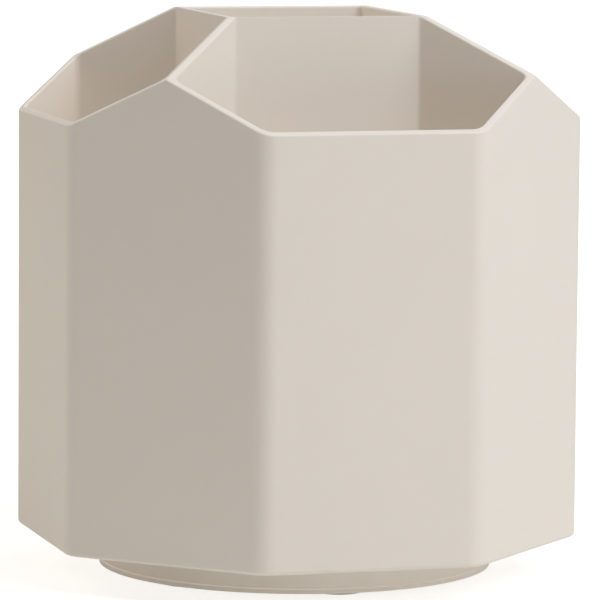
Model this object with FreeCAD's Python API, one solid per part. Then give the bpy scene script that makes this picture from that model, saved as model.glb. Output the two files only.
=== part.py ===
# Rotating desk organizer: one moulded cup body with five open cells, on a ball-bearing turntable.
#
# Frame: millimetres, +Z up along the spin axis, z = 0 on the desk under the rubber feet,
# and one outer cell faces -Y. The body is an octagon in plan. Four of its faces are the outer
# walls of four cells, and each of the other four is shared by two neighbours, with a radial
# partition at its middle. A square centre cell joins the four partitions.
import FreeCAD, Part
import math
import os

from FreeCAD import Vector

# ---------------------------------------------------------------- driving dimensions, mm
# cup body
ACROSS_FLATS = 118.0        # octagon, over two opposite faces
CORNER_RADIUS = 6.5         # outside radius of the eight upright corners
LOW_RIM_HEIGHT = 94.2       # from the body's lower edge to the rim of an outer cell
RIM_SLOPE_DEG = 32.5        # rise of each cell's rim towards the centre
CENTRE_CELL_WIDTH = 45.5    # centre cell, over its walls
OUTER_WALL = 1.6            # at the rim; the draft thickens it downwards
PARTITION = 2.3             # at the rim
CENTRE_WALL = 1.8           # at the rim
DRAFT_DEG = 0.25            # draft of every cell wall
FLOOR_THICKNESS = 2.2
CELL_CORNER_RADIUS = 1.2    # upright inside corners at the partitions
CELL_FLOOR_RADIUS = 1.5     # where cell walls meet the floor
RIM_ROUND = 0.45            # edge rounding along the rims
FOOT_EDGE_ROUND = 1.0       # edge rounding along the body's lower edge
UNDERSIDE_RIB = 1.6
UNDERSIDE_SPACE = 6.0       # between the turntable plate and the floor above it
SCREW_BOSS_RADIUS = 3.6

# turntable
BASE_RADIUS = 44.2          # over the thin flange at the foot of the base
BASE_FLANGE = 0.95          # height of that flange
BASE_FLANGE_STEP = 0.6      # the base's side stands back this far from the flange
BASE_SIDE_LEAN = 0.5        # and leans in this much further up to its top
BASE_TOP_ROUND = 0.9
BASE_HEIGHT = 6.3
BASE_WALL = 2.0
BASE_RIB = 1.2
BASE_RIB_SETBACK = 0.8      # the ribs end this far above the base's lower edge
BODY_GAP = 0.8              # between the base's top and the body's lower edge
PLATE_OVERHANG = 1.6        # the turntable plate reaches this far past the base
PLATE_THICKNESS = 3.0
PLATE_GAP = 1.4             # between the base's top and the plate's underside

# ball race
BALL_DIAMETER = 5.0
BALL_COUNT = 12
RACE_INSET = 11.8           # from the base's side to the ball circle
RACE_CONFORMITY = 1.04      # groove radius over ball radius
RACE_PLAY = 0.04            # between a ball and the bottom of each groove
RACE_FLOOR = 1.75           # material left under the groove in the base
CAGE_THICKNESS = 0.8
CAGE_BAND = 2.0             # cage material on each side of a pocket
CAGE_POCKET_CLEARANCE = 0.1

# pivot
HUB_RADIUS = 6.0
HUB_CLEARANCE = 0.05        # hub in bush, on the radius
BUSH_WALL = 2.0
BUSH_FLANGE = 2.0
BUSH_FLANGE_THICKNESS = 0.7
SLIP_WASHER_THICKNESS = 0.5
SLIP_WASHER_CLEARANCE = 0.2  # around the hub, on the radius
AXIAL_PLAY = 0.1            # how far the body can lift before the washers meet
PIVOT_WASHER_LIP = 3.0      # the steel washer reaches this far past the hub
WELL_CLEARANCE = 1.6        # around the washer, in the well under the base
PIVOT_WASHER_THICKNESS = 1.0
PIVOT_SCREW_RADIUS = 1.95
PIVOT_SCREW_LENGTH = 7.5
PIVOT_HEAD_RADIUS = 4.0
PIVOT_HEAD_HEIGHT = 1.9
SCREW_HOLE_CLEARANCE = 0.05
WASHER_HOLE_CLEARANCE = 0.25

# plate screws
PLATE_SCREW_COUNT = 4
PLATE_SCREW_INSET = 5.5     # from the plate's edge to its screws
PLATE_SCREW_RADIUS = 1.4
PLATE_SCREW_LENGTH = 8.0
PLATE_HEAD_RADIUS = 2.7
PLATE_SCREW_TURN_DEG = 45.0  # first screw, about the spin axis from +X
PLATE_EDGE_ROUND = 0.5
PILOT_SPARE = 0.3           # pilot holes run this much past the screw tips

# feet
FOOT_COUNT = 6
FOOT_RADIUS = 5.5
FOOT_INSET = 8.8            # from the base's side to the middle of a foot
FOOT_PROUD = 1.2
FOOT_SEAT = 0.6             # depth of the pocket each foot is glued in
FOOT_SEAT_CLEARANCE = 0.1
FOOT_BOSS_WALL = 1.2
FOOT_ROUND = 0.4
FOOT_TURN_DEG = 30.0        # first foot, about the spin axis from +X

# ---------------------------------------------------------------- derived places, mm
SLOPE = math.tan(math.radians(RIM_SLOPE_DEG))
DRAFT = math.tan(math.radians(DRAFT_DEG))
APOTHEM = ACROSS_FLATS / 2
CENTRE_HALF = CENTRE_CELL_WIDTH / 2

BASE_SIDE_FOOT = BASE_RADIUS - BASE_FLANGE_STEP
BASE_SIDE_TOP = BASE_SIDE_FOOT - BASE_SIDE_LEAN
PLATE_RADIUS = BASE_RADIUS + PLATE_OVERHANG
PLATE_SCREW_CIRCLE = PLATE_RADIUS - PLATE_SCREW_INSET

BASE_BOTTOM = FOOT_PROUD
BASE_TOP = BASE_BOTTOM + BASE_HEIGHT
DECK_BOTTOM = BASE_TOP - BASE_WALL
BODY_BOTTOM = BASE_TOP + BODY_GAP
PLATE_BOTTOM = BASE_TOP + PLATE_GAP
PLATE_TOP = PLATE_BOTTOM + PLATE_THICKNESS
FLOOR_BOTTOM = PLATE_TOP + UNDERSIDE_SPACE
FLOOR_TOP = FLOOR_BOTTOM + FLOOR_THICKNESS
LOW_RIM = BODY_BOTTOM + LOW_RIM_HEIGHT
HIGH_RIM = LOW_RIM + SLOPE * (APOTHEM - CENTRE_HALF)

RACE_RADIUS = BASE_SIDE_TOP - RACE_INSET
BALL_RADIUS = BALL_DIAMETER / 2
BALL_CENTRE_Z = (BASE_TOP + PLATE_BOTTOM) / 2
GROOVE_RADIUS = BALL_RADIUS * RACE_CONFORMITY
LOWER_GROOVE_Z = BALL_CENTRE_Z - BALL_RADIUS - RACE_PLAY + GROOVE_RADIUS
UPPER_GROOVE_Z = BALL_CENTRE_Z + BALL_RADIUS + RACE_PLAY - GROOVE_RADIUS
GROOVE_BOTTOM = BALL_CENTRE_Z - BALL_RADIUS - RACE_PLAY
POCKET_RADIUS = BALL_RADIUS + CAGE_POCKET_CLEARANCE
CAGE_INNER = RACE_RADIUS - POCKET_RADIUS - CAGE_BAND
CAGE_OUTER = RACE_RADIUS + POCKET_RADIUS + CAGE_BAND

BUSH_BORE = HUB_RADIUS + HUB_CLEARANCE
BUSH_RADIUS = BUSH_BORE + BUSH_WALL
SLIP_WASHER_BOTTOM = DECK_BOTTOM - SLIP_WASHER_THICKNESS
HUB_BOTTOM = SLIP_WASHER_BOTTOM - AXIAL_PLAY
PIVOT_WASHER_BOTTOM = HUB_BOTTOM - PIVOT_WASHER_THICKNESS
PIVOT_WASHER_RADIUS = HUB_RADIUS + PIVOT_WASHER_LIP
WELL_RADIUS = PIVOT_WASHER_RADIUS + WELL_CLEARANCE
FOOT_TOP = BASE_BOTTOM + FOOT_SEAT
FOOT_CIRCLE = BASE_SIDE_TOP - FOOT_INSET

ORIGIN = Vector(0, 0, 0)
UP = Vector(0, 0, 1)


# ---------------------------------------------------------------- helpers
def tube(outer, inner, bottom, top, centre=(0.0, 0.0)):
    """Upright ring between two heights; a disc when the inner radius is zero."""
    at = Vector(centre[0], centre[1], bottom)
    ring = Part.makeCylinder(outer, top - bottom, at)
    if inner > 0:
        ring = ring.cut(Part.makeCylinder(inner, top - bottom, at))
    return ring


def around(shape, count, first_deg=0.0):
    """Copies of a shape, evenly turned about the spin axis."""
    copies = []
    for index in range(count):
        copy = shape.copy()
        copy.rotate(ORIGIN, UP, first_deg + index * 360.0 / count)
        copies.append(copy)
    return copies


def fused(shapes):
    """One solid from shapes that touch or overlap, with no seams left between flush faces."""
    return shapes[0].multiFuse(shapes[1:]).removeSplitter()


def revolved(profile):
    """Full turn of a closed list of (radius, z) points about the spin axis."""
    points = [Vector(radius, 0, z) for radius, z in profile]
    points.append(points[0])
    return Part.Face(Part.makePolygon(points)).revolve(ORIGIN, UP, 360)


def groove(z):
    """Ring-shaped cutter of a ball race whose section is centred at height z."""
    return Part.makeTorus(RACE_RADIUS, GROOVE_RADIUS, Vector(0, 0, z))


def prismoid(bottom, bottom_z, top, top_z):
    """Solid between two outlines with parallel sides; both run counterclockwise, seen from above."""
    low = [Vector(x, y, bottom_z) for x, y in bottom]
    high = [Vector(x, y, top_z) for x, y in top]
    faces = [Part.Face(Part.makePolygon(low[::-1] + low[-1:])), Part.Face(Part.makePolygon(high + high[:1]))]
    for index in range(len(low)):
        after = (index + 1) % len(low)
        side = [low[index], low[after], high[after], high[index], low[index]]
        faces.append(Part.Face(Part.makePolygon(side)))
    shell = Part.makeShell(faces)
    shell.sewShape()
    return Part.makeSolid(shell)


def upright_edges(shape, where=lambda x, y: True):
    """Straight edges that climb, at the plan positions that the test accepts."""
    found = []
    for edge in shape.Edges:
        ends = [vertex.Point for vertex in edge.Vertexes]
        if len(ends) == 2 and abs(ends[0].z - ends[1].z) > 0.9 * edge.Length:
            if where(ends[0].x, ends[0].y):
                found.append(edge)
    return found


def level_edges(shape, z, tolerance=1e-4):
    """Edges that lie wholly at one height."""
    box_is_level = [e for e in shape.Edges if e.BoundBox.ZMax - e.BoundBox.ZMin < tolerance]
    return [e for e in box_is_level if abs(e.BoundBox.ZMin - z) < tolerance]


# ---------------------------------------------------------------- cup body
def octagon(apothem):
    """Corners of a regular octagon with a face towards -Y."""
    reach = apothem / math.cos(math.pi / 8)
    turns = [math.radians(22.5 + 45 * index) for index in range(8)]
    return [(reach * math.cos(turn), reach * math.sin(turn)) for turn in turns]


def octagon_block(apothem, corner_radius, bottom, top):
    """Octagonal block with rounded upright corners."""
    outline = octagon(apothem)
    block = prismoid(outline, bottom, outline, top)
    return block.makeFillet(corner_radius, upright_edges(block))


def rim_height(distance):
    """Height of the rim surface at a distance from the spin axis, measured along a cell's middle."""
    return LOW_RIM + SLOPE * (APOTHEM - max(distance, CENTRE_HALF))


def rim_roof():
    """Space under the rims: a four-sided roof with a level square top."""
    reach = APOTHEM + 10.0
    profile = [(-reach, -1.0), (reach, -1.0), (reach, rim_height(reach)), (CENTRE_HALF, HIGH_RIM),
               (-CENTRE_HALF, HIGH_RIM), (-reach, rim_height(reach))]
    points = [Vector(x, -reach, z) for x, z in profile]
    face = Part.Face(Part.makePolygon(points + points[:1]))
    ridge = face.extrude(Vector(0, 2 * reach, 0))
    across = ridge.copy()
    across.rotate(ORIGIN, UP, 90)
    return ridge.common(across)


def outer_cell_outline(z):
    """Inside of the cell that faces -Y, at height z: six corners in order."""
    growth = DRAFT * (HIGH_RIM - z)
    near = APOTHEM - OUTER_WALL - growth
    far = CENTRE_HALF + growth
    shift = (PARTITION / 2 + growth) / math.sqrt(2)
    corner = near * math.tan(math.pi / 8)
    shared = near / math.sqrt(2)
    right = [(corner, -near), (shared - shift, -shared - shift), (far - 2 * shift, -far)]
    left = [(-x, y) for x, y in reversed(right)]
    return left + right


def outer_cell():
    """Cutter of one outer cell, from the floor to above the rims."""
    top = HIGH_RIM + 5.0
    low_outline = outer_cell_outline(FLOOR_TOP)
    cutter = prismoid(low_outline, FLOOR_TOP, outer_cell_outline(top), top)
    middle_of_face = APOTHEM * math.tan(math.pi / 8) * 1.1

    def at_outer_corner(x, y):
        return y < -0.8 * APOTHEM and abs(x) < middle_of_face

    cutter = cutter.makeFillet(CORNER_RADIUS - OUTER_WALL, upright_edges(cutter, at_outer_corner))
    sharp = upright_edges(cutter, lambda x, y: y > -0.8 * APOTHEM)
    cutter = cutter.makeFillet(CELL_CORNER_RADIUS, sharp)
    return cutter.makeFillet(CELL_FLOOR_RADIUS, level_edges(cutter, FLOOR_TOP))


def centre_cell():
    """Cutter of the square centre cell."""
    top = HIGH_RIM + 5.0

    def outline(z):
        half = CENTRE_HALF - CENTRE_WALL - DRAFT * (HIGH_RIM - z)
        return [(-half, -half), (half, -half), (half, half), (-half, half)]

    cutter = prismoid(outline(FLOOR_TOP), FLOOR_TOP, outline(top), top)
    cutter = cutter.makeFillet(CELL_CORNER_RADIUS, upright_edges(cutter))
    return cutter.makeFillet(CELL_FLOOR_RADIUS, level_edges(cutter, FLOOR_TOP))


def underside():
    """Material to remove below the floor: the hollow skirt, less its ribs and screw bosses."""
    wall = OUTER_WALL + DRAFT * (HIGH_RIM - FLOOR_TOP)
    hollow = octagon_block(APOTHEM - wall, CORNER_RADIUS - wall, BODY_BOTTOM - 1.0, FLOOR_BOTTOM)
    rib_length = APOTHEM / math.cos(math.pi / 8)
    rib = Part.makeBox(rib_length, UNDERSIDE_RIB, UNDERSIDE_SPACE, Vector(0, -UNDERSIDE_RIB / 2, PLATE_TOP))
    ring_radius = HUB_RADIUS + 2 * UNDERSIDE_RIB
    kept = [tube(ring_radius, 0, PLATE_TOP, FLOOR_BOTTOM)]
    kept += around(rib, 8)
    kept += around(tube(SCREW_BOSS_RADIUS, 0, PLATE_TOP, FLOOR_BOTTOM, (PLATE_SCREW_CIRCLE, 0)),
                   PLATE_SCREW_COUNT, PLATE_SCREW_TURN_DEG)
    return hollow.cut(fused(kept))


def screw_pilots():
    """Blind holes in the body for the plate screws and the end of the pivot screw."""
    deep = PLATE_TOP + PLATE_SCREW_LENGTH - PLATE_THICKNESS + PILOT_SPARE
    pilot = tube(PLATE_SCREW_RADIUS + SCREW_HOLE_CLEARANCE, 0, PLATE_TOP, deep, (PLATE_SCREW_CIRCLE, 0))
    return around(pilot, PLATE_SCREW_COUNT, PLATE_SCREW_TURN_DEG)


def rim_edges(body):
    """Edges that bound the rims on the outside and inside, without the ridges between two cells."""
    found = []
    for edge in body.Edges:
        middle = edge.valueAt((edge.FirstParameter + edge.LastParameter) / 2)
        distance = max(abs(middle.x), abs(middle.y))
        on_rim = abs(middle.z - rim_height(distance)) < 0.02
        on_ridge = abs(abs(middle.x) - abs(middle.y)) < 0.01
        on_break = abs(distance - CENTRE_HALF) < 0.01 and abs(middle.z - HIGH_RIM) < 0.01
        if on_rim and not on_ridge and not on_break:
            found.append(edge)
    return found


def cup_body():
    """The one-piece body: octagonal wall, partitions, centre cell, floor and ribbed underside."""
    body = octagon_block(APOTHEM, CORNER_RADIUS, BODY_BOTTOM, HIGH_RIM + 1.0)
    body = body.makeFillet(FOOT_EDGE_ROUND, level_edges(body, BODY_BOTTOM))
    body = body.common(rim_roof())
    cutters = around(outer_cell(), 4) + [centre_cell(), underside()] + screw_pilots()
    body = body.cut(cutters[0].multiFuse(cutters[1:]))
    return body.makeFillet(min(RIM_ROUND, 0.3 * OUTER_WALL), rim_edges(body))


# ---------------------------------------------------------------- turntable, turning half
def turntable_plate():
    """Round plate under the body, with the upper ball race and the pivot hub."""
    plate = fused([tube(PLATE_RADIUS, 0, PLATE_BOTTOM, PLATE_TOP), tube(HUB_RADIUS, 0, HUB_BOTTOM, PLATE_TOP)])
    plate = plate.makeFillet(PLATE_EDGE_ROUND, level_edges(plate, PLATE_BOTTOM)[:1])
    hole = PLATE_SCREW_RADIUS + SCREW_HOLE_CLEARANCE
    head = PLATE_HEAD_RADIUS + SCREW_HOLE_CLEARANCE
    countersink = Part.makeCone(head, hole, head - hole, Vector(PLATE_SCREW_CIRCLE, 0, PLATE_BOTTOM))
    drill = tube(hole, 0, PLATE_BOTTOM, PLATE_TOP, (PLATE_SCREW_CIRCLE, 0))
    cutters = around(fused([countersink, drill]), PLATE_SCREW_COUNT, PLATE_SCREW_TURN_DEG)
    cutters.append(groove(UPPER_GROOVE_Z))
    cutters.append(tube(PIVOT_SCREW_RADIUS + SCREW_HOLE_CLEARANCE, 0, HUB_BOTTOM, PLATE_TOP))
    return plate.cut(cutters[0].multiFuse(cutters[1:]))


def cross_recess(size, bottom, depth):
    """Cutter of a cross slot in a screw head, open downwards."""
    bar = Part.makeBox(size, size * 0.24, depth, Vector(-size / 2, -size * 0.12, bottom))
    other = bar.copy()
    other.rotate(ORIGIN, UP, 90)
    return fused([bar, other])


def plate_screws():
    """Countersunk screws that hold the plate on the body's bosses."""
    cone_height = PLATE_HEAD_RADIUS - PLATE_SCREW_RADIUS
    head = Part.makeCone(PLATE_HEAD_RADIUS, PLATE_SCREW_RADIUS, cone_height, Vector(0, 0, PLATE_BOTTOM))
    shank = tube(PLATE_SCREW_RADIUS, 0, PLATE_BOTTOM + cone_height, PLATE_BOTTOM + PLATE_SCREW_LENGTH)
    screw = fused([head, shank]).cut(cross_recess(PLATE_HEAD_RADIUS * 1.1, PLATE_BOTTOM, 0.8))
    screw.translate(Vector(PLATE_SCREW_CIRCLE, 0, 0))
    return Part.makeCompound(around(screw, PLATE_SCREW_COUNT, PLATE_SCREW_TURN_DEG))


def pivot_washer():
    """Steel washer under the hub that keeps the body from lifting off."""
    hole = PIVOT_SCREW_RADIUS + WASHER_HOLE_CLEARANCE
    return tube(PIVOT_WASHER_RADIUS, hole, PIVOT_WASHER_BOTTOM, HUB_BOTTOM)


def pivot_screw():
    """Pan-head screw up into the hub."""
    head = tube(PIVOT_HEAD_RADIUS, 0, PIVOT_WASHER_BOTTOM - PIVOT_HEAD_HEIGHT, PIVOT_WASHER_BOTTOM)
    head = head.makeFillet(PIVOT_HEAD_HEIGHT * 0.5, level_edges(head, PIVOT_WASHER_BOTTOM - PIVOT_HEAD_HEIGHT))
    shank = tube(PIVOT_SCREW_RADIUS, 0, PIVOT_WASHER_BOTTOM, PIVOT_WASHER_BOTTOM + PIVOT_SCREW_LENGTH)
    recess = cross_recess(PIVOT_HEAD_RADIUS, PIVOT_WASHER_BOTTOM - PIVOT_HEAD_HEIGHT, 1.2)
    return fused([head, shank]).cut(recess)


# ---------------------------------------------------------------- turntable, rolling set
def ball_cage():
    """Flat ring with one pocket for each ball."""
    bottom = BALL_CENTRE_Z - CAGE_THICKNESS / 2
    top = BALL_CENTRE_Z + CAGE_THICKNESS / 2
    cage = tube(CAGE_OUTER, CAGE_INNER, bottom, top)
    pocket = tube(POCKET_RADIUS, 0, bottom, top, (RACE_RADIUS, 0))
    pockets = around(pocket, BALL_COUNT)
    return cage.cut(pockets[0].multiFuse(pockets[1:]))


def balls():
    """Steel balls, one named solid each."""
    ball = Part.makeSphere(BALL_RADIUS, Vector(RACE_RADIUS, 0, BALL_CENTRE_Z))
    return {f"ball_{number:02d}": copy for number, copy in enumerate(around(ball, BALL_COUNT), 1)}


# ---------------------------------------------------------------- turntable, standing half
def base_disc():
    """Round base: a ribbed shell with the lower ball race, the pivot well and seats for the feet."""
    outside = revolved([(0, BASE_BOTTOM), (BASE_RADIUS, BASE_BOTTOM), (BASE_RADIUS, BASE_BOTTOM + BASE_FLANGE),
                        (BASE_SIDE_FOOT, BASE_BOTTOM + BASE_FLANGE), (BASE_SIDE_TOP, BASE_TOP), (0, BASE_TOP)])
    outside = outside.makeFillet(BASE_TOP_ROUND, level_edges(outside, BASE_TOP))
    outside = outside.makeFillet(BASE_FLANGE * 0.35, level_edges(outside, BASE_BOTTOM + BASE_FLANGE)[:1])
    hollow = tube(BASE_SIDE_TOP - BASE_WALL, 0, BASE_BOTTOM, DECK_BOTTOM)

    race_ring = tube(CAGE_OUTER, CAGE_INNER, GROOVE_BOTTOM - RACE_FLOOR, DECK_BOTTOM)
    well_wall = tube(WELL_RADIUS + BASE_WALL, WELL_RADIUS, BASE_BOTTOM, DECK_BOTTOM)
    foot_boss = tube(FOOT_RADIUS + FOOT_BOSS_WALL, 0, BASE_BOTTOM, DECK_BOTTOM, (FOOT_CIRCLE, 0))
    rib_run = BASE_SIDE_TOP - BASE_WALL / 2 - WELL_RADIUS - BASE_WALL / 2
    rib_bottom = BASE_BOTTOM + BASE_RIB_SETBACK
    rib = Part.makeBox(rib_run, BASE_RIB, DECK_BOTTOM - rib_bottom,
                       Vector(WELL_RADIUS + BASE_WALL / 2, -BASE_RIB / 2, rib_bottom))
    kept = [race_ring, well_wall] + around(foot_boss, FOOT_COUNT, FOOT_TURN_DEG) + around(rib, 2 * FOOT_COUNT)
    base = outside.cut(hollow.cut(fused(kept)))

    seat = tube(FOOT_RADIUS + FOOT_SEAT_CLEARANCE, 0, BASE_BOTTOM, FOOT_TOP, (FOOT_CIRCLE, 0))
    cutters = around(seat, FOOT_COUNT, FOOT_TURN_DEG)
    cutters += [groove(LOWER_GROOVE_Z), tube(BUSH_RADIUS, 0, DECK_BOTTOM, BASE_TOP)]
    return base.cut(cutters[0].multiFuse(cutters[1:]))


def hub_bush():
    """Flanged plain bush in the base that the hub turns in."""
    sleeve = tube(BUSH_RADIUS, BUSH_BORE, DECK_BOTTOM, BASE_TOP)
    flange = tube(BUSH_RADIUS + BUSH_FLANGE, BUSH_BORE, BASE_TOP, BASE_TOP + BUSH_FLANGE_THICKNESS)
    return fused([sleeve, flange])


def slip_washer():
    """Slippery plastic washer between the base and the steel washer below it."""
    hole = HUB_RADIUS + SLIP_WASHER_CLEARANCE
    return tube(PIVOT_WASHER_RADIUS, hole, SLIP_WASHER_BOTTOM, DECK_BOTTOM)


def feet():
    """Rubber feet, one named solid each."""
    foot = tube(FOOT_RADIUS, 0, 0, FOOT_TOP, (FOOT_CIRCLE, 0))
    foot = foot.makeFillet(FOOT_ROUND, level_edges(foot, 0))
    return {f"foot_{number}": copy for number, copy in enumerate(around(foot, FOOT_COUNT, FOOT_TURN_DEG), 1)}


# ---------------------------------------------------------------- all nodes
def build_nodes():
    """Every piece of the organizer, by node name."""
    nodes = {
        "cup_body": cup_body(),
        "turntable_plate": turntable_plate(),
        "plate_screws": plate_screws(),
        "pivot_washer": pivot_washer(),
        "pivot_screw": pivot_screw(),
        "ball_cage": ball_cage(),
        "base_disc": base_disc(),
        "hub_bush": hub_bush(),
        "slip_washer": slip_washer(),
    }
    nodes.update(balls())
    nodes.update(feet())
    return nodes


def main():
    """Write one STEP file per node and print a line about each."""
    os.makedirs("parts", exist_ok=True)
    for name, shape in build_nodes().items():
        shape.exportStep(f"parts/{name}.step")
        box = shape.BoundBox
        print(f"{name:16s} solids {len(shape.Solids)} valid {shape.isValid()} volume {shape.Volume:10.1f} "
              f"z {box.ZMin:7.2f} to {box.ZMax:7.2f}")


main()
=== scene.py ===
"""Looks of a rotating desk organizer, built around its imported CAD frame.

The organizer is an ivory moulded cup body with five cells, on a round base with a ball race
inside. Everything is in metres, in the frame's own axes: +Z up along the spin axis, z = 0 on the
desk, and one outer cell facing -Y.
"""

import logging
import math
from dataclasses import dataclass, field
from enum import Enum
from typing import Any

import bmesh
import bpy
from mathutils import Matrix, Vector

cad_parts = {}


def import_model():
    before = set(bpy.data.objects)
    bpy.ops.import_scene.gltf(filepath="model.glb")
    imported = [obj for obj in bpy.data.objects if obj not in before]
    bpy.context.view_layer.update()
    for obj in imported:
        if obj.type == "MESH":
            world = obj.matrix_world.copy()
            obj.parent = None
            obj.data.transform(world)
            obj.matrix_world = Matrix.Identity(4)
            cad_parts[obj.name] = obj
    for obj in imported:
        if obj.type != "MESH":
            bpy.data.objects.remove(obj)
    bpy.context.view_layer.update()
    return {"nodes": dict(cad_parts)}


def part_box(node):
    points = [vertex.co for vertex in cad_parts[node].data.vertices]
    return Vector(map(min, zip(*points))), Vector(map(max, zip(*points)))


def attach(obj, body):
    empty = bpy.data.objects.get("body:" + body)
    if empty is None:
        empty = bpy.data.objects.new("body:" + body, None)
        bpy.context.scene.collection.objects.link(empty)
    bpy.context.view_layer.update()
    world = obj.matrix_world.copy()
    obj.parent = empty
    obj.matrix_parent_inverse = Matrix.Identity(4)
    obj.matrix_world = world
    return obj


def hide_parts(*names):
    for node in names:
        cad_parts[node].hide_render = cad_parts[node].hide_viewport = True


LOG = logging.getLogger("desk_organizer")
MM = 0.001
SHARP_DEG = 32.0  # an edge that turns by more than this is drawn sharp
MERGE = 0.001 * MM  # corners closer than this are one corner
NOISE_LOW, NOISE_HIGH = 0.3, 0.7  # nearly all of a noise pattern's values lie between these
DRIFT_DETAIL, GRAIN_DETAIL = 3.0, 2.0  # how many finer layers a noise pattern carries
SCATTER_REACH = (1.0, 0.8, 0.6)  # red light travels furthest below the surface, blue the least
WHITE = (1.0, 1.0, 1.0, 1.0)
# Outline of a rounded pan head, as shares of its radius and height, from its face to its seat.
PAN_HEAD = ((0.55, 0.0), (0.82, 0.18), (0.96, 0.45), (1.0, 0.8), (1.0, 1.0))


# ---------------------------------------------------------------- small tools
def linear_rgba(hex_colour: str) -> tuple[float, float, float, float]:
    """Turn an sRGB hex value into linear light.

    Args:
        hex_colour: Six hex digits, such as "E6DFD3".

    Returns:
        Red, green, blue and a full alpha, linear.
    """
    channels = [int(hex_colour[at:at + 2], 16) / 255 for at in (0, 2, 4)]
    linear = [c / 12.92 if c <= 0.04045 else ((c + 0.055) / 1.055) ** 2.4 for c in channels]
    return (linear[0], linear[1], linear[2], 1.0)


def add_node(tree: bpy.types.NodeTree, kind: str,
             settings: dict[str, Any] | None = None,
             values: dict[str | int, Any] | None = None,
             links: dict[str | int, bpy.types.NodeSocket] | None = None) -> bpy.types.Node:
    """Add one node with its settings, socket values and incoming links.

    Args:
        tree: The node tree to add to.
        kind: The node's type name, such as "ShaderNodeTexNoise".
        settings: Node attributes by name.
        values: Values of input sockets, by name or number.
        links: Output sockets to join to input sockets, by name or number.

    Returns:
        The new node.
    """
    node = tree.nodes.new(kind)
    for name, value in (settings or {}).items():
        setattr(node, name, value)
    for name, value in (values or {}).items():
        node.inputs[name].default_value = value
    for name, source in (links or {}).items():
        tree.links.new(source, node.inputs[name])
    return node


def per_metre(spacing_mm: float) -> float:
    """Noise scale, in cells per metre, of a pattern with this spacing in millimetres."""
    return 1.0 / (spacing_mm * MM)


# ---------------------------------------------------------------- finishes
@dataclass(frozen=True)
class Finish:
    """A solid material with a fine bump, a slow mottle in its roughness and its own shine.

    Attributes:
        name: The material's name.
        colour: Base colour, sRGB hex.
        roughness: Middle roughness.
        roughness_spread: How far the roughness drifts either way.
        drift_mm: Size of the slow drift in roughness and tone.
        grain_mm: Spacing of the fine surface grain.
        grain_depth_mm: Height of the grain.
        tone_spread: How much darker the tone gets at its darkest, as a share.
        metallic: One for metals.
        ior: Refractive index of the clear surface.
        scatter: Weight of light scattered below the surface.
        scatter_mm: How far that light travels.
    """

    name: str
    colour: str
    roughness: float
    roughness_spread: float = 0.05
    drift_mm: float = 18.0
    grain_mm: float = 0.35
    grain_depth_mm: float = 0.01
    tone_spread: float = 0.03
    metallic: float = 0.0
    ior: float = 1.5
    scatter: float = 0.0
    scatter_mm: float = 1.0

    def build(self) -> bpy.types.Material:
        """Make the material.

        Returns:
            The new node material, on Object coordinates.
        """
        material = bpy.data.materials.new(self.name)
        material.use_nodes = True
        tree = material.node_tree
        tree.nodes.clear()
        place = add_node(tree, "ShaderNodeTexCoord").outputs["Object"]
        drift = add_node(tree, "ShaderNodeTexNoise", values={
            "Scale": per_metre(self.drift_mm), "Detail": DRIFT_DETAIL}, links={"Vector": place}).outputs["Fac"]
        grain = add_node(tree, "ShaderNodeTexNoise", values={
            "Scale": per_metre(self.grain_mm), "Detail": GRAIN_DETAIL}, links={"Vector": place}).outputs["Fac"]
        roughness = add_node(tree, "ShaderNodeMapRange", values={
            "From Min": NOISE_LOW, "From Max": NOISE_HIGH, "To Min": self.roughness - self.roughness_spread,
            "To Max": self.roughness + self.roughness_spread}, links={"Value": drift}).outputs["Result"]
        light = linear_rgba(self.colour)
        dark = tuple(channel * (1 - self.tone_spread) for channel in light[:3]) + (1.0,)
        tone = add_node(tree, "ShaderNodeMix", settings={"data_type": "RGBA"},
                        values={6: dark, 7: light}, links={0: drift}).outputs[2]
        bump = add_node(tree, "ShaderNodeBump", values={"Strength": 1.0, "Distance": self.grain_depth_mm * MM},
                        links={"Height": grain}).outputs["Normal"]
        shader = add_node(tree, "ShaderNodeBsdfPrincipled", values={
            "Metallic": self.metallic, "IOR": self.ior, "Subsurface Weight": self.scatter,
            "Subsurface Radius": SCATTER_REACH, "Subsurface Scale": self.scatter_mm * MM},
            links={"Base Color": tone, "Roughness": roughness, "Normal": bump}).outputs["BSDF"]
        add_node(tree, "ShaderNodeOutputMaterial", links={"Surface": shader})
        return material


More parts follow.
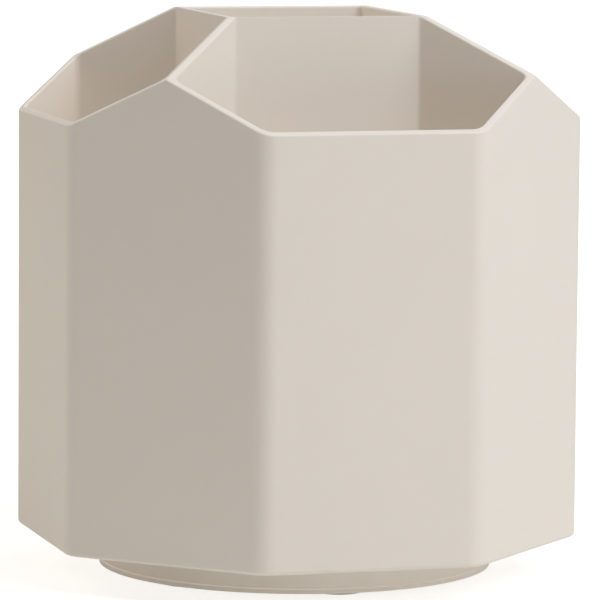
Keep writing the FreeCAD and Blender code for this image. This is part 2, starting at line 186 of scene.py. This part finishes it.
class Finishes(Enum):
    """Every finish of the organizer, named for its material and how its surface was made."""

    # Moulded ABS, ivory, from a spark-eroded tool: matte, with a grain too fine to see singly.
    # The real grain is about 0.1 mm; it is drawn at 0.4 mm so that it shows at all.
    IVORY_ABS = Finish("moulded_ivory_abs", "F7EDDF", 0.48, grain_mm=0.4, grain_depth_mm=0.006,
                       scatter=0.08, scatter_mm=1.2)
    # The same ABS from the plain side of the tool, for hidden pieces: a little shinier.
    PLAIN_ABS = Finish("moulded_plain_abs", "EEE8DE", 0.38, grain_mm=0.6, grain_depth_mm=0.003)
    # Moulded natural nylon: milky and waxy.
    NATURAL_NYLON = Finish("moulded_natural_nylon", "E4E3DA", 0.42, scatter=0.15, scatter_mm=1.0, ior=1.53)
    # Turned acetal: smooth, white and slippery.
    WHITE_ACETAL = Finish("turned_white_acetal", "EDEDEA", 0.25, grain_depth_mm=0.001, ior=1.48)
    # Ground and polished bearing steel: a near mirror.
    BEARING_STEEL = Finish("polished_bearing_steel", "B9BABD", 0.07, roughness_spread=0.02, drift_mm=2.0,
                           grain_depth_mm=0.0003, tone_spread=0.02, metallic=1.0)
    # Zinc-plated steel: bright, slightly clouded by the passivation.
    ZINC_STEEL = Finish("zinc_plated_steel", "B4B6B8", 0.3, roughness_spread=0.08, drift_mm=1.5,
                        grain_depth_mm=0.002, tone_spread=0.12, metallic=1.0)
    # Moulded natural silicone rubber: milky, dry and matte.
    SILICONE_RUBBER = Finish("moulded_silicone_rubber", "D8D4CB", 0.6, grain_mm=0.3, grain_depth_mm=0.008,
                             tone_spread=0.06, ior=1.42, scatter=0.2, scatter_mm=1.0)


@dataclass
class PaintShop:
    """Builds each finish once and puts it on nodes and new pieces."""

    made: dict[Finishes, bpy.types.Material] = field(default_factory=dict)

    def material(self, finish: Finishes) -> bpy.types.Material:
        """The material of a finish, made at its first use."""
        if finish not in self.made:
            self.made[finish] = finish.value.build()
        return self.made[finish]

    def dress(self, piece: bpy.types.Object, finish: Finishes) -> None:
        """Give a piece one finish in its only slot."""
        piece.data.materials.clear()
        piece.data.materials.append(self.material(finish))


# ---------------------------------------------------------------- new pieces
def turned(profile: list[tuple[float, float]], steps: int) -> bmesh.types.BMesh:
    """Turn an outline once about +Z into a closed shape.

    Args:
        profile: Radius and height of each corner, in millimetres, from the axis back to the axis.
        steps: How many flats go round.

    Returns:
        The shape, in metres, with its faces outwards.
    """
    shape = bmesh.new()
    corners = [shape.verts.new((radius * MM, 0.0, height * MM)) for radius, height in profile]
    outline = [shape.edges.new(pair) for pair in zip(corners, corners[1:])]
    bmesh.ops.spin(shape, geom=corners + outline, cent=(0, 0, 0), axis=(0, 0, 1), angle=math.tau, steps=steps,
                   use_merge=True)
    bmesh.ops.remove_doubles(shape, verts=shape.verts[:], dist=MERGE)
    bmesh.ops.recalc_face_normals(shape, faces=shape.faces[:])
    return shape


def soften(shape: bmesh.types.BMesh, width_mm: float) -> None:
    """Round the sharp edges of a shape.

    Args:
        shape: The shape to work on.
        width_mm: Width of the rounding.
    """
    least = math.radians(SHARP_DEG)
    sharp = [edge for edge in shape.edges if edge.is_manifold and edge.calc_face_angle() > least]
    bmesh.ops.bevel(shape, geom=sharp, offset=width_mm * MM, affect="EDGES", segments=2, profile=0.5,
                    material=-1)


def finished(name: str, shape: bmesh.types.BMesh) -> bpy.types.Object:
    """Make an object of a shape, smooth but for its sharp edges.

    Args:
        name: The piece's name.
        shape: Its shape, which is used up.

    Returns:
        The new object, linked to the scene.
    """
    mesh = bpy.data.meshes.new(name)
    shape.to_mesh(mesh)
    shape.free()
    mesh.shade_smooth()
    mesh.set_sharp_from_angle(angle=math.radians(SHARP_DEG))
    piece = bpy.data.objects.new(name, mesh)
    bpy.context.scene.collection.objects.link(piece)
    return piece


@dataclass
class GripFeet:
    """Rubber feet, each a round pad with grip rings and a dimple in its underside.

    Attributes:
        shop: Where the finish comes from.
        body: The body they ride on.
        ring_radii_mm: Middle radius of each grip ring, the outer one first.
        ring_width_mm: Width of a ring's groove.
        ring_depth_mm: Depth of a ring's groove.
        dimple_mm: Radius of the middle dimple.
        edge_mm: Rounding of the pad's lower edge.
        soft_mm: Rounding of every other edge.
        steps: How many flats go round.
    """

    shop: PaintShop
    body: str = "base"
    ring_radii_mm: tuple[float, ...] = (4.2, 2.8)
    ring_width_mm: float = 0.6
    ring_depth_mm: float = 0.3
    dimple_mm: float = 1.3
    edge_mm: float = 0.4
    soft_mm: float = 0.07
    steps: int = 64

    def profile(self, radius: float, height: float) -> list[tuple[float, float]]:
        """Outline of a pad that stands on z = 0.

        Args:
            radius: The pad's radius, in millimetres.
            height: Its height, in millimetres.

        Returns:
            Radius and height of each corner, from the axis at the top to the axis at the bottom.
        """
        bend = self.edge_mm * (1 - math.sqrt(0.5))
        corners = [(0.0, height), (radius, height), (radius, self.edge_mm), (radius - bend, bend),
                   (radius - self.edge_mm, 0.0)]
        half = self.ring_width_mm / 2
        for middle in self.ring_radii_mm:
            corners += [(middle + half, 0.0), (middle + half, self.ring_depth_mm),
                        (middle - half, self.ring_depth_mm), (middle - half, 0.0)]
        dimple = [(self.dimple_mm, 0.0), (self.dimple_mm / 2, self.ring_depth_mm), (0.0, self.ring_depth_mm)]
        return corners + dimple

    def build(self, names: list[str]) -> None:
        """Make a pad in the place of each plain foot.

        Args:
            names: The feet's node names.
        """
        for name in names:
            low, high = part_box(name)
            radius, height = (high.x - low.x) / 2 / MM, (high.z - low.z) / MM
            shape = turned(self.profile(radius, height), self.steps)
            soften(shape, self.soft_mm)
            middle = (low + high) / 2
            bmesh.ops.translate(shape, verts=shape.verts[:], vec=(middle.x, middle.y, low.z))
            piece = finished(f"grip_{name}", shape)
            self.shop.dress(piece, Finishes.SILICONE_RUBBER)
            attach(piece, self.body)
            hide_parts(name)
            LOG.info("built %s in place of %s", piece.name, name)


@dataclass
class ThreadedScrew:
    """One kind of screw, pointing up, with a real thread and a cross recess in its head.

    Attributes:
        head_mm: Radius of the head.
        head_height_mm: Height of the head.
        crest_mm: Radius over the thread.
        length_mm: From the head's outer face to the tip.
        pitch_mm: Rise of the thread in one turn.
        countersunk: Whether the head is a cone, or else a rounded pan.
        recess_depth_mm: Depth of the cross recess.
        root_share: Radius of the bare shank over the radius over the thread.
        foot_share: Radius of the thread's hidden foot over that of the bare shank.
        ridge_share: Half the thread's height at its foot, over its pitch.
        rim_mm: Height of the flat rim round a countersunk head.
        neck_mm: Height of the taper under the head.
        tip_mm: Height of the tapered tip.
        tip_share: Radius of the blunt tip over that of the bare shank.
        arm_share: Length of the cross recess over the head's radius.
        slot_share: Width of the cross recess over its length.
        steps: How many flats go round.
    """

    head_mm: float
    head_height_mm: float
    crest_mm: float
    length_mm: float
    pitch_mm: float
    countersunk: bool
    recess_depth_mm: float
    root_share: float = 0.76
    foot_share: float = 0.92
    ridge_share: float = 0.28
    rim_mm: float = 0.12
    neck_mm: float = 0.3
    tip_mm: float = 0.7
    tip_share: float = 0.6
    arm_share: float = 1.05
    slot_share: float = 0.22
    steps: int = 32

    def profile(self) -> list[tuple[float, float]]:
        """Outline of the screw without its thread, head down, from the axis back to the axis."""
        root, seat = self.crest_mm * self.root_share, self.head_height_mm
        if self.countersunk:
            head = [(self.head_mm - self.rim_mm, 0.0), (self.head_mm, self.rim_mm)]
        else:
            head = [(self.head_mm * out, seat * up) for out, up in PAN_HEAD]
        shank = [(self.crest_mm, seat), (root, seat + self.neck_mm), (root, self.length_mm - self.tip_mm),
                 (root * self.tip_share, self.length_mm), (0.0, self.length_mm)]
        return [(0.0, 0.0)] + head + shank

    def thread(self) -> bmesh.types.BMesh:
        """The thread alone, a closed ridge in metres that winds up the shank, with its foot inside it."""
        foot = self.crest_mm * self.root_share * self.foot_share
        half = self.pitch_mm * self.ridge_share
        start = self.head_height_mm + self.neck_mm + half
        turns = (self.length_mm - self.tip_mm - half - start) / self.pitch_mm
        ridge = bmesh.new()
        corners = [ridge.verts.new((radius * MM, 0.0, (start + rise) * MM))
                   for radius, rise in ((foot, -half), (self.crest_mm, 0.0), (foot, half))]
        outline = [ridge.edges.new((corners[at], corners[at - 1])) for at in range(3)]
        bmesh.ops.spin(ridge, geom=corners + outline, cent=(0, 0, 0), axis=(0, 0, 1),
                       dvec=(0, 0, self.pitch_mm * MM / self.steps), angle=math.tau * turns,
                       steps=round(turns * self.steps))
        bmesh.ops.holes_fill(ridge, edges=[edge for edge in ridge.edges if edge.is_boundary], sides=0)
        bmesh.ops.recalc_face_normals(ridge, faces=ridge.faces[:])
        return ridge

    def recessed(self, name: str) -> bpy.types.Mesh:
        """The screw without its thread, with the cross recess cut into its head.

        Args:
            name: Name of the mesh.

        Returns:
            The cut mesh.
        """
        screw = finished(name, turned(self.profile(), self.steps))
        cutters = []
        for turn_deg in (0.0, 90.0):
            bar = bmesh.new()
            bmesh.ops.create_cube(bar, size=1.0)
            arm = self.head_mm * self.arm_share * MM
            depth = 2 * self.recess_depth_mm * MM
            bmesh.ops.scale(bar, verts=bar.verts[:], vec=(arm, arm * self.slot_share, depth))
            bmesh.ops.rotate(bar, verts=bar.verts[:], cent=(0, 0, 0),
                             matrix=Matrix.Rotation(math.radians(turn_deg), 3, "Z"))
            cutter = finished(f"{name}_cutter", bar)
            cut = screw.modifiers.new("recess", "BOOLEAN")
            cut.operation, cut.solver, cut.object = "DIFFERENCE", "EXACT", cutter
            cutters.append(cutter)
        bpy.context.view_layer.update()
        mesh = bpy.data.meshes.new_from_object(screw.evaluated_get(bpy.context.evaluated_depsgraph_get()))
        for spent in [screw] + cutters:
            bpy.data.objects.remove(spent)
        return mesh

    def build(self, name: str, node: str, body: str, places: list[Vector], shop: PaintShop) -> None:
        """Make the screws of one CAD node as one piece.

        Args:
            name: The piece's name.
            node: The node it stands for.
            body: The body it rides on.
            places: Where the middle of each head's outer face goes.
            shop: Where the finish comes from.
        """
        plain = self.recessed(name)
        group = bmesh.new()
        for place in places:
            one = self.thread()
            one.from_mesh(plain)
            bmesh.ops.translate(one, verts=one.verts[:], vec=place)
            placed = bpy.data.meshes.new("placed")
            one.to_mesh(placed)
            one.free()
            group.from_mesh(placed)
            bpy.data.meshes.remove(placed)
        bpy.data.meshes.remove(plain)
        piece = finished(name, group)
        shop.dress(piece, Finishes.ZINC_STEEL)
        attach(piece, body)
        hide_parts(node)
        LOG.info("built %s in place of %s", name, node)


# ---------------------------------------------------------------- sub-assemblies
@dataclass
class SubAssembly:
    """A group of CAD nodes that move together.

    Attributes:
        nodes: The frame's objects by node name.
        shop: Where finishes come from.
    """

    nodes: dict[str, bpy.types.Object]
    shop: PaintShop

    def finishes(self) -> dict[str, Finishes]:
        """The finish of each node of the group, by node name."""
        raise NotImplementedError

    def dress(self) -> None:
        """Put its finish on every node of the group."""
        for name, finish in self.finishes().items():
            self.shop.dress(self.nodes[name], finish)
            LOG.info("dressed %s with %s", name, finish.value.name)


@dataclass
class Rotor(SubAssembly):
    """The turning half: cup body, turntable plate and their screws.

    Attributes:
        plate_head_mm: Radius of a plate screw's head.
        plate_head_height_mm: Its height.
        plate_crest_mm: Radius over a plate screw's thread.
        plate_pitch_mm: Rise of that thread in one turn.
        plate_recess_mm: Depth of a plate screw's recess.
        pivot_head_mm: Radius of the pivot screw's head.
        pivot_head_height_mm: Its height.
        pivot_crest_mm: Radius over the pivot screw's thread.
        pivot_pitch_mm: Rise of that thread in one turn.
        pivot_recess_mm: Depth of the pivot screw's recess.
    """

    plate_head_mm: float = 2.7
    plate_head_height_mm: float = 1.3
    plate_crest_mm: float = 1.4
    plate_pitch_mm: float = 1.15
    plate_recess_mm: float = 0.8
    pivot_head_mm: float = 4.0
    pivot_head_height_mm: float = 1.9
    pivot_crest_mm: float = 1.95
    pivot_pitch_mm: float = 1.4
    pivot_recess_mm: float = 1.2

    def finishes(self) -> dict[str, Finishes]:
        """Ivory body, plain plate, zinc-plated screws and washer."""
        return {"cup_body": Finishes.IVORY_ABS, "turntable_plate": Finishes.PLAIN_ABS,
                "plate_screws": Finishes.ZINC_STEEL, "pivot_screw": Finishes.ZINC_STEEL,
                "pivot_washer": Finishes.ZINC_STEEL}

    def build_plate_screws(self) -> None:
        """Make the plate's four countersunk screws, one in each corner of their node's box."""
        low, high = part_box("plate_screws")
        screw = ThreadedScrew(
            head_mm=self.plate_head_mm, head_height_mm=self.plate_head_height_mm, crest_mm=self.plate_crest_mm,
            length_mm=(high.z - low.z) / MM, pitch_mm=self.plate_pitch_mm, countersunk=True,
            recess_depth_mm=self.plate_recess_mm)
        reach = high.x - screw.head_mm * MM
        corners = [Vector((reach * across, reach * along, low.z)) for across in (-1, 1) for along in (-1, 1)]
        screw.build("threaded_plate_screws", "plate_screws", "rotor", corners, self.shop)

    def build_pivot_screw(self) -> None:
        """Make the pan-head screw on the spin axis."""
        low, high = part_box("pivot_screw")
        screw = ThreadedScrew(
            head_mm=self.pivot_head_mm, head_height_mm=self.pivot_head_height_mm, crest_mm=self.pivot_crest_mm,
            length_mm=(high.z - low.z) / MM, pitch_mm=self.pivot_pitch_mm, countersunk=False,
            recess_depth_mm=self.pivot_recess_mm)
        screw.build("threaded_pivot_screw", "pivot_screw", "rotor", [Vector((0.0, 0.0, low.z))], self.shop)


class RollingSet(SubAssembly):
    """The ball cage and its balls."""

    def finishes(self) -> dict[str, Finishes]:
        """Polished balls in a natural nylon cage."""
        balls = {name: Finishes.BEARING_STEEL for name in self.nodes if name.startswith("ball_")}
        return balls | {"ball_cage": Finishes.NATURAL_NYLON}


class StandingBase(SubAssembly):
    """The base with its bush, slip washer and feet."""

    def finishes(self) -> dict[str, Finishes]:
        """Rubber feet, ivory base, white acetal bush and slip washer."""
        feet = {name: Finishes.SILICONE_RUBBER for name in self.foot_names()}
        return feet | {"base_disc": Finishes.IVORY_ABS, "hub_bush": Finishes.WHITE_ACETAL,
                       "slip_washer": Finishes.WHITE_ACETAL}

    def foot_names(self) -> list[str]:
        """Node names of the feet, in order."""
        return sorted(name for name in self.nodes if name.startswith("foot_"))

    def build_feet(self) -> None:
        """Make a grip foot in the place of each plain one."""
        GripFeet(self.shop).build(self.foot_names())


# ---------------------------------------------------------------- studio
@dataclass(frozen=True)
class SoftLight:
    """A square soft light that faces the object.

    Attributes:
        name: The light's name.
        azimuth_deg: Where it stands, about +Z from straight in front, to the right positive.
        elevation_deg: How high it stands.
        power: In watts.
        colour: sRGB hex.
        casts_shadow: Whether the object shades it, or else it fills shade evenly.
        distance: From the point it faces.
        size: Side of the square.
        aim_height: Height of the point it faces, on the spin axis.
    """

    name: str
    azimuth_deg: float
    elevation_deg: float
    power: float
    colour: str
    casts_shadow: bool = True
    distance: float = 1.1
    size: float = 0.7
    aim_height: float = 0.06

    def build(self) -> None:
        """Hang the light."""
        turn, lift = math.radians(self.azimuth_deg), math.radians(self.elevation_deg)
        out = Vector((math.sin(turn) * math.cos(lift), -math.cos(turn) * math.cos(lift), math.sin(lift)))
        data = bpy.data.lights.new(self.name, "AREA")
        data.shape = "SQUARE"
        data.size = self.size
        data.energy = self.power
        data.color = linear_rgba(self.colour)[:3]
        data.use_shadow = self.casts_shadow
        lamp = bpy.data.objects.new(self.name, data)
        place = Vector((0.0, 0.0, self.aim_height)) + out * self.distance
        lamp.matrix_world = Matrix.Translation(place) @ out.to_track_quat("Z", "Y").to_matrix().to_4x4()
        bpy.context.scene.collection.objects.link(lamp)


@dataclass
class Studio:
    """Pale floor, soft lights and the camera.

    Attributes:
        azimuth_deg: Camera's turn about +Z from straight in front, to the right positive.
        elevation_deg: Camera's height angle.
        distance: From the aim to the camera.
        aim_side: How far right of the spin axis the camera aims.
        aim_up: How far up the picture the aim is from the foot of the cup body.
        roll_deg: The camera's turn about its own line of sight.
        lens_mm: Focal length on a 36 mm sensor.
        clip_near: Nothing closer to the camera than this is drawn.
        clip_far: Nothing further from it than this is drawn.
        ambient: Strength of the even light from all round.
        ambient_colour: Its sRGB hex colour.
        floor_half: Half the floor's side.
        floor_colour: Its sRGB hex colour.
        floor_roughness: Its roughness, as of matte paper.
        floor_glow: Strength of the light the floor gives off.
        floor_whiteness: How much brighter still it looks beside the object.
        fade_start: From this far out, the floor's look fades to white.
        fade_end: From here on it is all white.
        tone_gamma: Softens the contrast of the finished picture, as a camera does.
        lights: The soft lights round the object.
    """

    azimuth_deg: float = -16.47
    elevation_deg: float = 6.53
    distance: float = 1.0687
    aim_side: float = 0.0008
    aim_up: float = 0.0519
    roll_deg: float = 0.47
    lens_mm: float = 282.9
    clip_near: float = 0.05
    clip_far: float = 20.0
    ambient: float = 0.135
    ambient_colour: str = "FFFCF8"
    floor_half: float = 3.0
    floor_colour: str = "ECEBE7"
    floor_roughness: float = 0.95
    floor_glow: float = 0.01
    floor_whiteness: float = 0.52
    fade_start: float = 0.12
    fade_end: float = 0.5
    tone_gamma: float = 1.2
    lights: tuple[SoftLight, ...] = (
        SoftLight("key_right", 45.0, 48.0, 4.8, "F0F4FF"),
        SoftLight("fill_right", 45.0, 20.0, 2.25, "FBFCFF", casts_shadow=False),
        SoftLight("fill_front", -20.0, 20.0, 0.15, "FFF8F0", casts_shadow=False),
        SoftLight("fill_left", -135.0, 30.0, 2.9, "FFF2E4"),
        SoftLight("fill_back", 135.0, 35.0, 1.4, "FFF9F2"),
        SoftLight("fill_top", 0.0, 88.0, 3.3, "FBFDFF", casts_shadow=False))

    def camera(self, foot_height: float) -> None:
        """Place the camera.

        Args:
            foot_height: Height of the cup body's lower edge.
        """
        turn, lift = math.radians(self.azimuth_deg), math.radians(self.elevation_deg)
        forward = Vector((-math.sin(turn) * math.cos(lift), math.cos(turn) * math.cos(lift), -math.sin(lift)))
        right = Vector((math.cos(turn), math.sin(turn), 0.0))
        up = right.cross(forward)
        aim = Vector((0.0, 0.0, foot_height)) + right * self.aim_side + up * self.aim_up
        roll = math.radians(self.roll_deg)
        rolled_right = right * math.cos(roll) + up * math.sin(roll)
        rolled_up = up * math.cos(roll) - right * math.sin(roll)
        axes = Matrix((rolled_right, rolled_up, -forward)).transposed().to_4x4()
        data = bpy.data.cameras.new("studio_camera")
        data.lens = self.lens_mm
        data.clip_start, data.clip_end = self.clip_near, self.clip_far
        camera = bpy.data.objects.new("studio_camera", data)
        camera.matrix_world = Matrix.Translation(aim - forward * self.distance) @ axes
        bpy.context.scene.collection.objects.link(camera)
        bpy.context.scene.camera = camera

    def world(self) -> None:
        """Even light from all round, with a white backdrop where the camera sees it."""
        world = bpy.data.worlds.new("studio_world")
        world.use_nodes = True
        tree = world.node_tree
        tree.nodes.clear()
        even = add_node(tree, "ShaderNodeBackground", values={
            "Color": linear_rgba(self.ambient_colour), "Strength": self.ambient})
        backdrop = add_node(tree, "ShaderNodeBackground", values={"Color": WHITE, "Strength": 1.0})
        seen = add_node(tree, "ShaderNodeLightPath").outputs["Is Camera Ray"]
        mixed = add_node(tree, "ShaderNodeMixShader", links={
            0: seen, 1: even.outputs["Background"], 2: backdrop.outputs["Background"]})
        add_node(tree, "ShaderNodeOutputWorld", links={"Surface": mixed.outputs["Shader"]})
        bpy.context.scene.world = world

    def floor(self) -> None:
        """Add a pale floor under the feet, clear from below so that the underside can be looked at."""
        mesh = bpy.data.meshes.new("studio_floor")
        shape = bmesh.new()
        bmesh.ops.create_grid(shape, x_segments=1, y_segments=1, size=self.floor_half)
        shape.to_mesh(mesh)
        shape.free()
        material = bpy.data.materials.new("pale_floor")
        material.use_nodes = True
        tree = material.node_tree
        tree.nodes.clear()
        paper = add_node(tree, "ShaderNodeBsdfPrincipled", values={
            "Base Color": linear_rgba(self.floor_colour), "Roughness": self.floor_roughness,
            "Emission Color": WHITE, "Emission Strength": self.floor_glow})
        place = add_node(tree, "ShaderNodeTexCoord").outputs["Object"]
        away = add_node(tree, "ShaderNodeVectorMath", settings={"operation": "LENGTH"}, links={0: place})
        fading = add_node(tree, "ShaderNodeMapRange", values={
            "From Min": self.fade_start, "From Max": self.fade_end, "To Min": self.floor_whiteness,
            "To Max": 1.0}, links={"Value": away.outputs["Value"]})
        lift = add_node(tree, "ShaderNodeEmission", links={"Strength": fading.outputs["Result"]})
        lifted = add_node(tree, "ShaderNodeAddShader", links={
            0: paper.outputs["BSDF"], 1: lift.outputs["Emission"]})
        seen = add_node(tree, "ShaderNodeLightPath").outputs["Is Camera Ray"]
        front = add_node(tree, "ShaderNodeMixShader", links={
            0: seen, 1: paper.outputs["BSDF"], 2: lifted.outputs["Shader"]})
        clear = add_node(tree, "ShaderNodeBsdfTransparent")
        below = add_node(tree, "ShaderNodeNewGeometry").outputs["Backfacing"]
        one_sided = add_node(tree, "ShaderNodeMixShader", links={
            0: below, 1: front.outputs["Shader"], 2: clear.outputs["BSDF"]})
        add_node(tree, "ShaderNodeOutputMaterial", links={"Surface": one_sided.outputs["Shader"]})
        mesh.materials.append(material)
        floor = bpy.data.objects.new("studio_floor", mesh)
        bpy.context.scene.collection.objects.link(floor)

    def build(self, foot_height: float) -> None:
        """Set up camera, floor, lights and colour handling.

        Args:
            foot_height: Height of the cup body's lower edge.
        """
        self.camera(foot_height)
        self.floor()
        self.world()
        for light in self.lights:
            light.build()
        settings = bpy.context.scene.view_settings
        settings.view_transform = "Standard"
        settings.look = "None"
        settings.gamma = self.tone_gamma


def main() -> None:
    """Load the frame, dress it and set the studio around it."""
    logging.basicConfig(level=logging.INFO, format="%(message)s")
    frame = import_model()
    nodes = frame["nodes"]
    shop = PaintShop()
    rotor, rolling_set, base = Rotor(nodes, shop), RollingSet(nodes, shop), StandingBase(nodes, shop)
    for group in (rotor, rolling_set, base):
        group.dress()
    base.build_feet()
    rotor.build_plate_screws()
    rotor.build_pivot_screw()
    foot_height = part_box("cup_body")[0].z
    Studio().build(foot_height)


if __name__ == "__main__":
    main()
